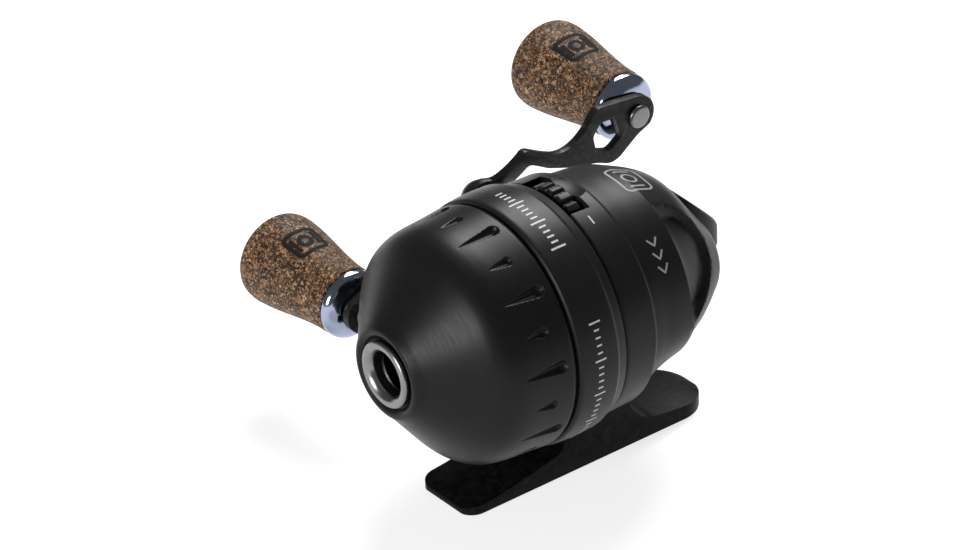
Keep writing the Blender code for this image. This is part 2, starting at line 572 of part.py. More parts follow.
def main():
    for obj in list(bpy.data.objects):
        bpy.data.objects.remove(obj, do_unlink=True)
    build_cover()
    build_guide_ring()
    build_trim_band()
    build_housing()
    build_foot()
    build_foot_screws()
    build_deck()
    build_spool()
    build_spinner()
    build_return_spring()
    build_gears()
    build_drag()
    build_button()
    build_crank()
    build_knob(1, 1)
    build_knob(2, -1)


main()
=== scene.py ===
"""Closed-face spincast reel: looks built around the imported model.

Shapes are written in millimetres in the reel's own axes: y is the station along the body from the
joint between cover and body, z the height above the body axis, x to the side (the crank is at -x).
"""
import json
from math import atan2, cos, degrees, pi, radians, sin, sqrt

import bmesh
import bpy
from mathutils import Matrix, Vector


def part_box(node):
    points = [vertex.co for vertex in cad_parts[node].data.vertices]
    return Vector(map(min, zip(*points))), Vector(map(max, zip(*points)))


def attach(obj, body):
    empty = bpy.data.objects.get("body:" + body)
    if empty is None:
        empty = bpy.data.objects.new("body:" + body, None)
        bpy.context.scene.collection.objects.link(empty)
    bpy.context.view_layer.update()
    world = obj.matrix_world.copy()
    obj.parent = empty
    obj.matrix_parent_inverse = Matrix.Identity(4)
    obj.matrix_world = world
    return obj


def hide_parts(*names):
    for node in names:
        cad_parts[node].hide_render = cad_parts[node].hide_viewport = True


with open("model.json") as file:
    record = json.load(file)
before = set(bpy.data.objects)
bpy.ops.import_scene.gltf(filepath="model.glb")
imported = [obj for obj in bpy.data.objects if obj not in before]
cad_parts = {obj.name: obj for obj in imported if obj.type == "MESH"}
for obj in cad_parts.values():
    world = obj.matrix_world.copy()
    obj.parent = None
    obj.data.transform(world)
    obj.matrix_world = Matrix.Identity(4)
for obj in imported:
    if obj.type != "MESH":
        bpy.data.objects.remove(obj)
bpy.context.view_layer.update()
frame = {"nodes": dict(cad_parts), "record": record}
NODES = frame["nodes"]
SCENE = bpy.context.scene

LO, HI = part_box("spool")
AXIS_Z = (LO.z + HI.z) / 2 * 1000           # body axis above the foot's underside
SEAM_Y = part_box("front_cover")[1].y * 1000 + 0.3
CRANK_Y = 26.8
ARM_TILT = radians(14.7)
ARM_R = 35.7
ARM_STEP = 4.7              # how far the arm steps toward the body
BUTTON_Y = 46.0
BUTTON_HALF, BUTTON_REAR = 6.15, 7.6
HINGE = (34.0, 13.8)        # y, z of the button's hinge
DRAG_Z = 15.3               # height of the drag wheel's axis
FOOT_SCREWS = (14.6, 19.6)
DECK_SCREWS = [radians(a) for a in (30, 150, 270)]
MARK_X, MARK_ANGLE = -50.0, radians(93)     # middle of the mark on a knob


def place(p):
    return Vector((p[0], p[1] + SEAM_Y, p[2] + AXIS_Z)) * 0.001


# ---------------------------------------------------------------- shape helpers
def arc(cx, cy, r, start, end, steps):
    return [(cx + r * cos(radians(start + (end - start) * i / steps)),
             cy + r * sin(radians(start + (end - start) * i / steps))) for i in range(steps + 1)]


def fillet(points, size=0.3, steps=4, closed=False):
    """Rounds each corner of a 2-D line; a third number on a point is its own corner size."""
    out, n = [], len(points)
    for i, p in enumerate(points):
        if not closed and i in (0, n - 1):
            out.append((p[0], p[1]))
            continue
        c = Vector(p[:2])
        a, b = Vector(points[i - 1][:2]), Vector(points[(i + 1) % n][:2])
        d = p[2] if len(p) > 2 else size
        d = min(d, 0.45 * (a - c).length, 0.45 * (b - c).length)
        if d < 0.01:
            out.append(tuple(c))
            continue
        start, end = c + (a - c).normalized() * d, c + (b - c).normalized() * d
        for k in range(steps + 1):
            t = k / steps
            out.append(tuple(start * (1 - t) ** 2 + c * 2 * t * (1 - t) + end * t * t))
    return out


def denser(points, gap, lo=-1e9, hi=1e9):
    """Adds points where the line runs between the stations lo and hi."""
    out = [points[0]]
    for a, b in zip(points, points[1:]):
        length = sqrt((a[0] - b[0]) ** 2 + (a[1] - b[1]) ** 2)
        n = max(1, int(length / gap)) if lo < (a[0] + b[0]) / 2 < hi else 1
        out += [(a[0] + (b[0] - a[0]) * k / n, a[1] + (b[1] - a[1]) * k / n) for k in range(1, n + 1)]
    return out


def skin(rows, closed):
    """Skins a list of rings; a ring with one point is a pole."""
    bm = bmesh.new()
    rings = [[bm.verts.new(p) for p in row] for row in rows]
    pairs = list(zip(rings, rings[1:])) + ([(rings[-1], rings[0])] if closed else [])
    for a, b in pairs:
        n = max(len(a), len(b))
        if n == 1:
            continue
        for i in range(n):
            j = (i + 1) % n
            quad = [a[i % len(a)], a[j % len(a)], b[j % len(b)], b[i % len(b)]]
            face = [v for k, v in enumerate(quad) if v not in quad[:k]]
            if len(face) > 2:
                bm.faces.new(face)
    return bm


def lathe(profile, axis='Y', centre=(0.0, 0.0), seg=96):
    def ring(s, r):
        pts = []
        for i in range(seg if r > 1e-6 else 1):
            t = 2 * pi * i / seg
            a, b = centre[0] + r * cos(t), centre[1] + r * sin(t)
            pts.append({'Y': (a, s, b), 'X': (s, a, b), 'Z': (a, b, s)}[axis])
        return pts
    closed = profile[0][1] > 0 and profile[-1][1] > 0
    return skin([ring(s, r) for s, r in profile], closed)


def rod(axis, start, end, radius, centre=(0.0, 0.0), seg=48):
    return lathe([(start, 0), (start, radius), (end, radius), (end, 0)], axis, centre, seg)


def slab(outline, axis, lo, hi):
    """Extrudes an outline: axis 'X' takes (y, z) points, 'Y' (x, z) and 'Z' (x, y)."""
    def lift(p, t):
        return {'X': (t, p[0], p[1]), 'Y': (p[0], t, p[1]), 'Z': (p[0], p[1], t)}[axis]
    bm = bmesh.new()
    a = [bm.verts.new(lift(p, lo)) for p in outline]
    b = [bm.verts.new(lift(p, hi)) for p in outline]
    bm.faces.new(a)
    bm.faces.new(b[::-1])
    for i in range(len(outline)):
        j = (i + 1) % len(outline)
        bm.faces.new([a[i], a[j], b[j], b[i]])
    return bm


def joined(*solids):
    out = bmesh.new()
    for bm in solids:
        mesh = bpy.data.meshes.new("scratch")
        bm.to_mesh(mesh)
        out.from_mesh(mesh)
        bpy.data.meshes.remove(mesh)
        bm.free()
    return out


def mesh_object(name, bm):
    for v in bm.verts:
        v.co = place(v.co)
    bmesh.ops.recalc_face_normals(bm, faces=bm.faces)
    mesh = bpy.data.meshes.new(name)
    bm.to_mesh(mesh)
    bm.free()
    obj = bpy.data.objects.new(name, mesh)
    SCENE.collection.objects.link(obj)
    return obj


def apply(obj):
    """Bakes the modifiers into the mesh."""
    bpy.context.view_layer.update()
    depsgraph = bpy.context.evaluated_depsgraph_get()
    mesh = bpy.data.meshes.new_from_object(obj.evaluated_get(depsgraph))
    old = obj.data
    obj.modifiers.clear()
    obj.data = mesh
    bpy.data.meshes.remove(old)


def cut(obj, *solids, operation='DIFFERENCE'):
    for bm in solids:
        tool = mesh_object("tool", bm)
        mod = obj.modifiers.new("cut", 'BOOLEAN')
        mod.operation, mod.solver, mod.object = operation, 'EXACT', tool
        apply(obj)
        bpy.data.objects.remove(tool)


def round_edges(obj, width, segments=2, angle=35.0):
    mod = obj.modifiers.new("round", 'BEVEL')
    mod.width, mod.segments, mod.angle_limit = width * 0.001, segments, radians(angle)
    mod.limit_method = 'ANGLE'
    mod.use_clamp_overlap = True
    apply(obj)


def piece(obj, mat, body, node=None, slot=None, sharp=32.0):
    obj.data.shade_smooth()
    obj.data.set_sharp_from_angle(angle=radians(sharp))
    obj.data.materials.clear()
    obj.data.materials.append(mat)
    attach(obj, body)
    if node:
        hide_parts(node)
        slot = slot or next(s["material_slot"] for s in frame["record"]["subparts"] if s["node"] == node)
    return obj


# ---------------------------------------------------------------- material helpers
class Shade:
    """A procedural Principled material in the reel's own coordinates."""

    def __init__(self, name, metallic=0.0):
        self.mat = bpy.data.materials.new(name)
        self.mat.use_nodes = True
        self.tree = self.mat.node_tree
        self.shader = self.tree.nodes["Principled BSDF"]
        self.shader.inputs["Metallic"].default_value = metallic
        self.shader.inputs["IOR"].default_value = 1.5
        self.coords = self.node("ShaderNodeTexCoord").outputs["Object"]

    def node(self, kind, **values):
        n = self.tree.nodes.new(kind)
        for key, value in values.items():
            setattr(n, key, value)
        return n

    def link(self, a, b):
        self.tree.links.new(a, b)
        return b

    def stretched(self, scale):
        m = self.node("ShaderNodeMapping")
        m.inputs["Scale"].default_value = scale
        self.link(self.coords, m.inputs["Vector"])
        return m.outputs["Vector"]

    def noise(self, scale, detail=3.0, rough=0.55, vector=None):
        n = self.node("ShaderNodeTexNoise")
        n.inputs["Scale"].default_value = scale
        n.inputs["Detail"].default_value = detail
        n.inputs["Roughness"].default_value = rough
        self.link(vector or self.coords, n.inputs["Vector"])
        return n.outputs["Fac"]

    def cells(self, scale, feature='F1', vector=None):
        n = self.node("ShaderNodeTexVoronoi", feature=feature)
        n.inputs["Scale"].default_value = scale
        self.link(vector or self.coords, n.inputs["Vector"])
        return n

    def ramp(self, value, stops):
        n = self.node("ShaderNodeValToRGB")
        while len(n.color_ramp.elements) < len(stops):
            n.color_ramp.elements.new(0.5)
        for e, (at, colour) in zip(n.color_ramp.elements, stops):
            e.position = at
            e.color = (*colour, 1.0)
        self.link(value, n.inputs["Fac"])
        return n.outputs["Color"]

    def remap(self, value, lo, hi, a, b):
        n = self.node("ShaderNodeMapRange")
        for k, v in zip(("From Min", "From Max", "To Min", "To Max"), (lo, hi, a, b)):
            n.inputs[k].default_value = v
        self.link(value, n.inputs["Value"])
        return n.outputs["Result"]

    def mix(self, factor, a, b):
        n = self.node("ShaderNodeMix", data_type='RGBA')
        for key, value in (("Factor", factor), ("A", a), ("B", b)):
            sockets = [s for s in n.inputs if s.name == key and s.enabled]
            if isinstance(value, (tuple, float)):
                v = value if key == "Factor" else (*value, 1.0)
                sockets[0].default_value = v
            else:
                self.link(value, sockets[0])
        return next(s for s in n.outputs if s.enabled)

    def math(self, op, a, b):
        n = self.node("ShaderNodeMath", operation=op)
        for i, value in enumerate((a, b)):
            if isinstance(value, (int, float)):
                n.inputs[i].default_value = value
            else:
                self.link(value, n.inputs[i])
        return n.outputs[0]

    def edges(self, lo=0.52, hi=0.6):
        """About 1 on a convex edge, 0 on flat surface."""
        return self.remap(self.node("ShaderNodeNewGeometry").outputs["Pointiness"], lo, hi, 0.0, 1.0)

    def bump(self, *layers, rounding=0.0):
        """Each layer is (height, strength, depth in mm)."""
        normal = None
        if rounding:
            bevel = self.node("ShaderNodeBevel", samples=4)
            bevel.inputs["Radius"].default_value = rounding * 0.001
            normal = bevel.outputs["Normal"]
        for height, strength, depth in layers:
            b = self.node("ShaderNodeBump")
            b.inputs["Strength"].default_value = strength
            b.inputs["Distance"].default_value = depth * 0.001
            self.link(height, b.inputs["Height"])
            if normal is not None:
                self.link(normal, b.inputs["Normal"])
            normal = b.outputs["Normal"]
        if normal is not None:
            self.link(normal, self.shader.inputs["Normal"])

    def set(self, **sockets):
        for key, value in sockets.items():
            self.link(value, self.shader.inputs[key.replace("_", " ")])
        return self.mat


def black(name, base, rough, grain=0.12, wear=0.5, rounding=0.0, spec=0.14):
    """Satin black: fine powdery grain, slight mottling, convex edges painted lighter in patches: part rubbed
    wear, part painted highlight.
    """
    s = Shade(name)
    s.shader.inputs["Specular IOR Level"].default_value = spec
    fine = s.noise(5200, 3)
    soft = s.noise(240, 4)
    broad = s.noise(45, 2)
    dark = tuple(v * 0.8 for v in base)
    light = tuple(v * 1.3 for v in base)
    colour = s.ramp(s.math('ADD', s.math('MULTIPLY', fine, 0.8), s.math('MULTIPLY', soft, 0.2)),
                    [(0.32, dark), (0.5, base), (0.7, light)])
    # Painted highlight on convex edges: pointiness times patchy noise lightens the colour, part rubbed wear
    # and part painted edge highlight; wear sets its strength.
    edge_highlight_and_rub = s.math('MULTIPLY', s.edges(), s.remap(s.noise(700, 3), 0.4, 0.65, 0.0, wear))
    colour = s.mix(edge_highlight_and_rub, colour, tuple(0.05 + v for v in base))
    scuffs = s.noise(300, 4, vector=s.stretched((1.0, 9.0, 1.0)))
    roughness = s.math('ADD', s.remap(broad, 0.3, 0.7, rough - 0.035, rough + 0.035),
                       s.remap(scuffs, 0.35, 0.7, -0.025, 0.035))
    s.bump((fine, grain, 0.03), (soft, 0.03, 0.04), rounding=rounding)
    return s.set(Base_Color=colour, Roughness=roughness)


def metal(name, base, rough, axis=None, grain=0.1, tint=0.12, wear=0.0):
    """Bare metal with tool marks running round `axis`, or a ground grain without one."""
    s = Shade(name, 1.0)
    if axis:
        sep = s.node("ShaderNodeSeparateXYZ")
        s.link(s.coords, sep.inputs[0])
        along = sep.outputs["XYZ".index(axis)]
        comb = s.node("ShaderNodeCombineXYZ")
        s.link(along, comb.inputs[0])
        lines = s.noise(9000, 2, vector=comb.outputs[0])
    else:
        lines = s.noise(2600, 3, vector=s.stretched((1.0, 1.0, 12.0)))
    patch = s.noise(160, 3)
    colour = s.ramp(patch, [(0.3, tuple(v * (1 - tint) for v in base)),
                            (0.7, tuple(min(1.0, v * (1 + tint)) for v in base))])
    if wear:
        spots = s.remap(s.noise(1500, 4), 0.58, 0.72, 0.0, wear)
        colour = s.mix(spots, colour, tuple(v * 0.45 for v in base))
    roughness = s.math('ADD', s.remap(lines, 0.3, 0.7, rough - 0.04, rough + 0.05),
                       s.remap(patch, 0.3, 0.7, -0.02, 0.03))
    s.bump((lines, grain, 0.02))
    return s.set(Base_Color=colour, Roughness=roughness)


def cork():
    """Rubberised cork: packed grains of orange, tan and near-black with pits between them."""
    s = Shade("rubberised_cork")
    s.shader.inputs["Specular IOR Level"].default_value = 0.2
    warp = s.node("ShaderNodeVectorMath", operation='MULTIPLY_ADD')
    n = s.node("ShaderNodeTexNoise")
    n.inputs["Scale"].default_value = 1400
    s.link(s.coords, n.inputs["Vector"])
    s.link(n.outputs["Color"], warp.inputs[0])
    warp.inputs[1].default_value = (0.0007, 0.0007, 0.0007)
    s.link(s.coords, warp.inputs[2])
    big = s.cells(1700, vector=warp.outputs[0])
    small = s.cells(3400, vector=warp.outputs[0])

    def shade(cells):
        sep = s.node("ShaderNodeSeparateColor")
        s.link(cells.outputs["Color"], sep.inputs[0])
        return sep.outputs[0]
    palette = [(0.0, (0.004, 0.004, 0.004)), (0.26, (0.013, 0.009, 0.007)), (0.44, (0.048, 0.027, 0.015)),
               (0.6, (0.12, 0.058, 0.026)), (0.76, (0.22, 0.105, 0.042)), (0.9, (0.31, 0.18, 0.09)),
               (1.0, (0.42, 0.30, 0.20))]
    mask = s.remap(s.noise(1500, 2), 0.46, 0.54, 0.0, 1.0)
    colour = s.mix(mask, s.ramp(shade(big), palette), s.ramp(shade(small), palette))
    speckle = s.remap(s.noise(3800, 3), 0.55, 0.68, 0.0, 0.75)
    colour = s.mix(speckle, colour, (0.012, 0.009, 0.007))
    broad = s.remap(s.noise(130, 3), 0.35, 0.7, 0.0, 0.22)
    colour = s.mix(broad, colour, (0.06, 0.035, 0.018))
    edge = s.cells(1700, 'DISTANCE_TO_EDGE', vector=warp.outputs[0]).outputs["Distance"]
    pits = s.remap(edge, 0.0, 0.12, 0.0, 1.0)
    roughness = s.remap(s.noise(900, 3), 0.3, 0.7, 0.5, 0.72)
    s.bump((pits, 0.25, 0.06), (s.noise(5000, 3), 0.25, 0.05), (small.outputs["Distance"], 0.2, 0.06))
    return s.set(Base_Color=colour, Roughness=roughness)


def chrome():
    """Cool tinted chrome with a faint haze and polishing swirl."""
    s = Shade("collar_chrome", 1.0)
    haze = s.noise(260, 4)
    colour = s.ramp(haze, [(0.3, (0.27, 0.31, 0.42)), (0.7, (0.36, 0.41, 0.53))])
    fine = s.noise(3000, 3, vector=s.stretched((6.0, 1.0, 1.0)))
    s.bump((fine, 0.03, 0.02))
    return s.set(Base_Color=colour, Roughness=s.remap(haze, 0.3, 0.7, 0.07, 0.15))


def printed(name, base):
    """Pad-printed ink: slightly uneven cover."""
    s = Shade(name)
    thin = s.noise(1800, 4)
    colour = s.ramp(thin, [(0.3, tuple(v * 0.72 for v in base)), (0.62, base)])
    s.bump((s.noise(6000, 2), 0.1, 0.01))
    return s.set(Base_Color=colour, Roughness=s.remap(thin, 0.3, 0.7, 0.5, 0.62))


def burnt():
    """Mark branded into cork."""
    s = Shade("branded_cork")
    s.shader.inputs["Specular IOR Level"].default_value = 0.12
    n = s.noise(1600, 4)
    colour = s.ramp(n, [(0.35, (0.005, 0.0045, 0.004)), (0.62, (0.010, 0.008, 0.007)),
                        (0.85, (0.05, 0.026, 0.012))])
    s.bump((n, 0.35, 0.05))
    return s.set(Base_Color=colour, Roughness=s.remap(n, 0.3, 0.7, 0.6, 0.8))


COVER = black("cover_satin_black", (0.0068, 0.0064, 0.0062), 0.38, grain=0.16, wear=0.35)
BAND = black("band_satin_black", (0.0090, 0.0088, 0.0086), 0.38, grain=0.12, wear=0.4)
HOUSING = black("housing_satin_black", (0.0090, 0.0088, 0.0086), 0.38, grain=0.13, wear=0.35, rounding=0.18)
BUTTON = black("button_black", (0.011, 0.0108, 0.0106), 0.42, grain=0.2, wear=0.4)
FOOT = black("foot_black", (0.0030, 0.0030, 0.0031), 0.36, grain=0.06, wear=0.12, spec=0.05)
ARM = black("arm_black", (0.0075, 0.0073, 0.0072), 0.33, grain=0.1, wear=0.5, rounding=0.12)
DRAG = black("drag_black", (0.010, 0.010, 0.010), 0.34, grain=0.12, wear=0.5, rounding=0.12)
NUT = black("nut_black", (0.012, 0.012, 0.0125), 0.26, grain=0.05, wear=0.6)
STEEL_RING = metal("guide_ring_steel", (0.22, 0.217, 0.212), 0.26, axis='Y', grain=0.2)
RIVET = metal("rivet_alloy", (0.19, 0.187, 0.184), 0.33, grain=0.12, wear=0.15)
STEEL = metal("plain_steel", (0.50, 0.50, 0.50), 0.34, wear=0.2)
ALLOY = metal("machined_alloy", (0.62, 0.62, 0.63), 0.36, axis='Y', grain=0.2)
BRASS = metal("cut_brass", (0.68, 0.49, 0.22), 0.34, wear=0.25)
CHROME = chrome()
CORK = cork()
INK = printed("printed_grey", (0.56, 0.56, 0.555))
INK_DIM = printed("printed_dim", (0.27, 0.27, 0.27))
BURNT = burnt()


# ---------------------------------------------------------------- surfaces of the body
COVER_OUTER = fillet([(-25.9, 5.85), (-25.9, 7.2), (-26.6, 7.7), (-27.0, 8.4), (-26.9, 9.1), (-26.2, 9.8),
                      (-25.2, 10.75, 0.6), (-17.6, 20.2, 1.6), (-16.1, 21.8, 1.0), (-14.4, 23.0, 1.0),
                      (-12.3, 23.75, 1.2), (-10.0, 24.1, 1.0), (-6.0, 24.35, 1.0), (-0.95, 24.8, 0.25),
                      (-0.35, 24.55, 0.2)], 0.35, 5)
COVER_INNER = [(-0.35, 23.25), (-4.6, 23.25), (-5.0, 22.4), (-12.5, 21.8), (-14.4, 20.9), (-16.4, 18.9),
               (-24.0, 9.6), (-24.2, 5.85)]
BAND_PROFILE = fillet([(0.45, 23.25), (0.45, 24.6, 0.1), (0.75, 25.05, 0.2), (1.3, 25.2, 0.3),
                       (4.6, 25.45, 1.0), (9.35, 25.33, 0.25), (10.0, 24.92, 0.25), (12.0, 24.45, 0.12),
                       (12.25, 24.1, 0.1), (12.25, 23.25)], 0.2, 4)
OUTSIDE = [
    (12.6, 23.9, 23.9, 23.9), (13.0, 24.1, 24.1, 24.1), (19.8, 23.9, 23.9, 23.9),
    (20.5, 23.1, 23.1, 22.9), (22.0, 22.9, 22.9, 21.2), (24.0, 22.6, 22.6, 19.4),
    (27.0, 22.3, 22.4, 17.0), (30.2, 21.9, 22.1, 15.5), (31.5, 21.4, 21.5, 15.1),
    (33.0, 20.8, 20.4, 14.8), (36.0, 19.5, 18.6, 14.8), (38.2, 18.3, 17.3, 14.8),
    (39.7, 17.1, 16.3, 14.3), (41.4, 14.9, 15.2, 13.3), (43.5, 12.2, 13.7, 11.9),
    (45.7, 9.0, 12.0, 10.4), (47.3, 6.9, 9.4, 8.2), (48.4, 4.6, 6.4, 5.6), (49.1, 2.2, 3.0, 2.8)]


def along(profile, s):
    """Radius of a profile at station s."""
    best = 0.0
    for a, b in zip(profile, profile[1:]):
        lo, hi = min(a[0], b[0]), max(a[0], b[0])
        if lo <= s <= hi and hi > lo:
            best = max(best, a[1] + (b[1] - a[1]) * (s - a[0]) / (b[0] - a[0]))
    return best


def table_at(y):
    """Smooth (monotone) reading of OUTSIDE: creases stay at 13.0, 19.8, 20.5 and 30.2."""
    rows = OUTSIDE
    i = max(0, min(len(rows) - 2, next((k for k in range(len(rows) - 1) if y <= rows[k + 1][0]), 0)))
    a, b = rows[i], rows[i + 1]
    h = b[0] - a[0]
    t = max(0.0, min(1.0, (y - a[0]) / h))
    out = []
    for c in (1, 2, 3):
        slope = (b[c] - a[c]) / h

        def tangent(k):
            if k in (0, 1, 2, 3, 7, len(rows) - 1):
                return slope
            before = (rows[k][c] - rows[k - 1][c]) / (rows[k][0] - rows[k - 1][0])
            after = (rows[k + 1][c] - rows[k][c]) / (rows[k + 1][0] - rows[k][0])
            return 0.0 if before * after <= 0 else 2 * before * after / (before + after)
        m0, m1 = tangent(i), tangent(i + 1)
        out.append((2 * t ** 3 - 3 * t * t + 1) * a[c] + (t ** 3 - 2 * t * t + t) * h * m0
                   + (3 * t * t - 2 * t ** 3) * b[c] + (t ** 3 - t * t) * h * m1)
    return out


def scoop(y, t):
    a = degrees(atan2(sin(t), abs(cos(t))))
    width = max(0.0, 1.0 - ((a - 26.0) / 36.0) ** 2)
    start, end = 30.2, 31.2 + 10.4 * sqrt(max(0.0, width))
    if width <= 0 or not start < y < end:
        return 0.0
    u = (y - start) / (end - start)
    return 1.9 * min(1.0, 3.0 * width) * min(1.0, 7.0 * u, 5.0 * (1 - u))


def body_radius(y, t, inset=0.0):
    top, side, bottom = table_at(y)
    ends = top if sin(t) > 0 else bottom
    return side + (ends - side) * sin(t) ** 2 - inset - (0.0 if inset else scoop(y, t))


def teardrop(y, t):
    """Depth of the grip recesses in the cover: ten long ones with ten short ones between."""
    k = round((degrees(t) - 8.4) / 18.0)
    off = radians(degrees(t) - 8.4 - 18.0 * k) * 24.2
    tip, end, r, deep = (-11.9, -3.35, 1.30, 1.15) if k % 2 == 0 else (-9.9, -5.6, 0.95, 0.8)
    if y <= tip or y >= end + r:
        return 0.0
    half = r * ((y - tip) / (end - tip)) ** 0.85 if y < end else sqrt(max(0.0, r * r - (y - end) ** 2))
    if abs(off) >= half or half <= 0:
        return 0.0
    fall = ((y - tip) / (end - tip)) ** 0.9 if y < end else half / r
    return deep * fall * (1 - (off / half) ** 2) ** 0.8


def build_cover():
    outer = denser(COVER_OUTER, 0.12, -12.6, -1.6)
    outer = denser(outer, 1.0, -26, -12.6)
    seg = 960
    rows = []
    for s, r in outer + COVER_INNER:
        recessed = r > 23.3 and -12.2 < s < -1.8
        row = []
        for t in (2 * pi * i / seg for i in range(seg)):
            deep = teardrop(s, t) if recessed else 0
            row.append(((r - deep) * cos(t), s, (r - deep) * sin(t)))
        rows.append(row)
    piece(mesh_object("cover_shell", skin(rows, True)), COVER, "frame", "front_cover", sharp=55)
    ring = fillet([(-23.6, 4.7), (-23.45, 5.1), (-23.6, 5.5, 0.1), (-26.15, 5.5, 0.05), (-26.2, 6.6, 0.1),
                   (-26.55, 6.9, 0.2), (-27.15, 6.8, 0.35), (-27.45, 6.35, 0.25), (-27.42, 5.55, 0.25),
                   (-27.0, 4.95, 0.4), (-26.2, 4.45, 0.5), (-24.2, 4.4, 0.3)], 0.2, 5, True)
    piece(mesh_object("line_eyelet", lathe(ring, seg=160)), STEEL_RING, "frame", "line_guide_ring", sharp=60)


def build_band():
    piece(mesh_object("band_shell", lathe(BAND_PROFILE, seg=256)), BAND, "frame", "trim_band", sharp=40)


def build_housing():
    seg = 240
    outer = [12.6, 12.75, 12.95, 13.15] + [13.6 + 1.2 * k for k in range(6)] + [19.7, 19.85, 20.1, 20.4, 20.6]
    outer += [21 + 0.9 * k for k in range(10)] + [30.0, 30.2, 30.3, 30.45, 30.65, 30.9, 31.2, 31.6]
    outer += [32.1 + 0.55 * k for k in range(31)] + [49.1]
    inner = [44.8, 43, 41, 38.2, 36, 33, 30, 27, 24, 20.5]

    def circle(y, r):
        return [(r * cos(2 * pi * i / seg), y, r * sin(2 * pi * i / seg)) for i in range(seg)]
    rows = [circle(-4.2, 21.25), circle(-4.2, 22.4), circle(-3.8, 22.85), circle(12.6, 22.85)]
    for y in outer:
        rows.append([(body_radius(y, t) * cos(t), y, body_radius(y, t) * sin(t))
                     for t in (2 * pi * i / seg for i in range(seg))])
    rows += [[(0, 49.3, 0)], [(0, 46.4, 0)]]
    for y in inner:
        inset = 2.1 + 0.5 * min(1.0, max(0.0, (y - 27) / 3))
        rows.append([(body_radius(y, t, inset) * cos(t), y, body_radius(y, t, inset) * sin(t))
                     for t in (2 * pi * i / seg for i in range(seg))])
    rows.append(circle(12.0, 21.2))
    shell = mesh_object("body_shell", skin(rows, True))

    boss = fillet([(-9.5, 0), (-9.5, 6.2), (-26.95, 6.2, 0.5), (-26.95, 0)], 0.3, 4)
    cut(shell, lathe(boss, 'X', (CRANK_Y, 0), 72), operation='UNION')
    bore = [(-9.0, 0), (-9.0, 4.2), (-15.2, 4.2), (-15.2, 3.0), (-19.2, 3.0), (-19.2, 4.9), (-28.0, 4.9),
            (-28.0, 0)]
    window = fillet([(-8.9, 19.0), (8.9, 19.0), (6.9, 24.4), (6.4, 27.0), (-6.4, 27.0), (-6.9, 24.4)],
                    0.6, 4, True)
    scallop = bmesh.new()
    bmesh.ops.create_uvsphere(scallop, u_segments=48, v_segments=32, radius=1.0)
    bmesh.ops.transform(scallop, verts=scallop.verts,
                        matrix=Matrix.Translation((0, 17.3, 24.5)) @ Matrix.Diagonal((5.2, 4.8, 1.7, 1.0)))
    rows = []
    for z, reach in ((-5.9, 1.7), (11.7, 1.7), (14.1, 0.0), (30.0, 0.0)):
        ring = [2 * pi * (k + 0.5) / 96 for k in range(96)]
        rows.append([(6.6 * cos(t), BUTTON_Y + 6.6 * sin(t) - (reach if sin(t) < 0 else 0), z) for t in ring])
    way = skin([[(0, BUTTON_Y, -5.9)]] + rows + [[(0, BUTTON_Y, 30.0)]], False)
    cut(shell, lathe(bore, 'X', (CRANK_Y, 0), 48), slab(window, 'Y', 12.4, 17.5), scallop, way)
    lug = fillet([(32.4, 12.0), (35.6, 12.0), (35.6, 17.2), (32.4, 17.2)], 0.4, 2, True)
    cut(shell, slab(lug, 'X', -6.4, -4.8), slab(lug, 'X', 4.8, 6.4), operation='UNION')
    cut(shell, rod('X', -6.9, 6.9, 1.2, HINGE))
    posts = [rod('Y', 5.3, 11.0, 2.5, (19.2 * cos(a), 19.2 * sin(a)), 24) for a in DECK_SCREWS]
    pilots = [rod('Y', 4.0, 9.8, 1.1, (18.3 * cos(a), 18.3 * sin(a)), 16) for a in DECK_SCREWS]
    pilots += [rod('Z', -26.0, -18.0, 1.3, (0, y), 16) for y in FOOT_SCREWS]
    cut(shell, joined(*posts), operation='UNION')
    cut(shell, joined(*pilots))
    piece(shell, HOUSING, "frame", "main_housing", sharp=32)


def build_foot():
    side = fillet([(-14.4, -34.3, 0.4), (47.5, -34.3, 0.4), (47.5, -32.25, 0.5), (45.5, -31.75, 2),
                   (38.0, -31.1, 3), (31.5, -30.3, 3), (29.2, -29.4, 2), (27.2, -27.4, 2),
                   (25.8, -25.4, 2), (25.0, -22.5, 2), (24.8, -18.0), (10.0, -18.0), (10.0, -25.6, 2),
                   (9.3, -27.8, 2), (7.8, -29.2, 2), (4.0, -30.0, 2), (-6.0, -31.9, 3),
                   (-13.2, -32.6, 0.8), (-14.4, -33.0, 0.4)], 0.3, 4, True)
    foot = mesh_object("foot_plate", slab(side, 'X', -8.0, 8.0))
    plan = (arc(-4.5, -10.9, 3.5, 180, 270, 10) + arc(4.5, -10.9, 3.5, 270, 360, 10)
            + arc(0, 39.5, 8.0, 0, 180, 40))
    cut(foot, slab(plan, 'Z', -36, -10), operation='INTERSECT')
    seg = 120
    seat = [[(0, 11.0, 0)]]
    for y in (12.6, 13.0, 19.8, 20.5, 22, 24, 27):
        seat.append([((body_radius(y, t) + 0.35) * cos(t), y, (body_radius(y, t) + 0.35) * sin(t))
                     for t in (2 * pi * i / seg for i in range(seg))])
    seat.append([(0, 27.0, 0)])
    band = [(0.0, 0), (0.0, 25.95), (9.6, 25.8), (12.9, 24.7), (12.9, 0)]
    cut(foot, skin(seat, False), lathe(band, seg=seg))
    round_edges(foot, 0.55, 4, 50)
    cut(foot, joined(*[rod('Z', -31.5, -15.0, 1.25, (0, y), 16) for y in FOOT_SCREWS]))
    piece(foot, FOOT, "frame", "reel_foot", sharp=30)


